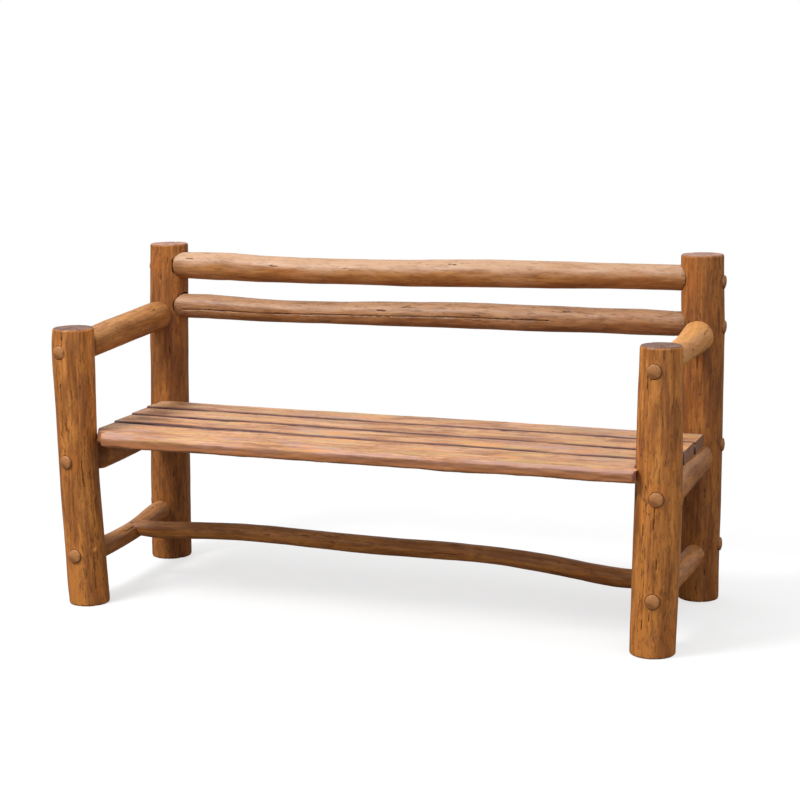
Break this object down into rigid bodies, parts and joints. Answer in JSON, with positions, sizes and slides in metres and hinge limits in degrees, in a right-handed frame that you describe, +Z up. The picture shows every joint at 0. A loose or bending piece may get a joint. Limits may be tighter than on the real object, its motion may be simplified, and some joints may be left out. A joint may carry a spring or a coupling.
{
  "type": "rustic log bench",
  "caption": "Rustic outdoor bench of peeled logs: short front posts, tall rear posts with a pole back, pole arms, a seat of live-edge planks and crooked low stretchers.",
  "frame": {"origin": "on the ground, at the centre of the whole bench's footprint box", "axes": "+X along the bench to the right hand of someone who looks at it from the front, +Y from the front to the back, +Z up"},
  "size_m": [1.5666, 0.6087, 0.853],
  "materials": {
    "peeled_log": "satin oiled peeled softwood",
    "seat_plank": "satin oiled sawn softwood",
    "dowel": "satin oiled end grain"
  },
  "bodies": {
    "root": {"front_left_post": "peeled_log", "front_right_post": "peeled_log", "rear_left_post": "peeled_log", "rear_right_post": "peeled_log", "top_back_rail": "peeled_log", "lower_back_rail": "peeled_log", "left_arm": "peeled_log", "right_arm": "peeled_log", "left_seat_bearer": "peeled_log", "right_seat_bearer": "peeled_log", "front_seat_plank": "seat_plank", "second_seat_plank": "seat_plank", "third_seat_plank": "seat_plank", "rear_seat_plank": "seat_plank", "left_side_stretcher": "peeled_log", "right_side_stretcher": "peeled_log", "centre_stretcher": "peeled_log", "front_face_dowels": "dowel", "back_rail_dowels": "dowel", "tenon_cross_dowels": "dowel"}
  },
  "joints": []
}
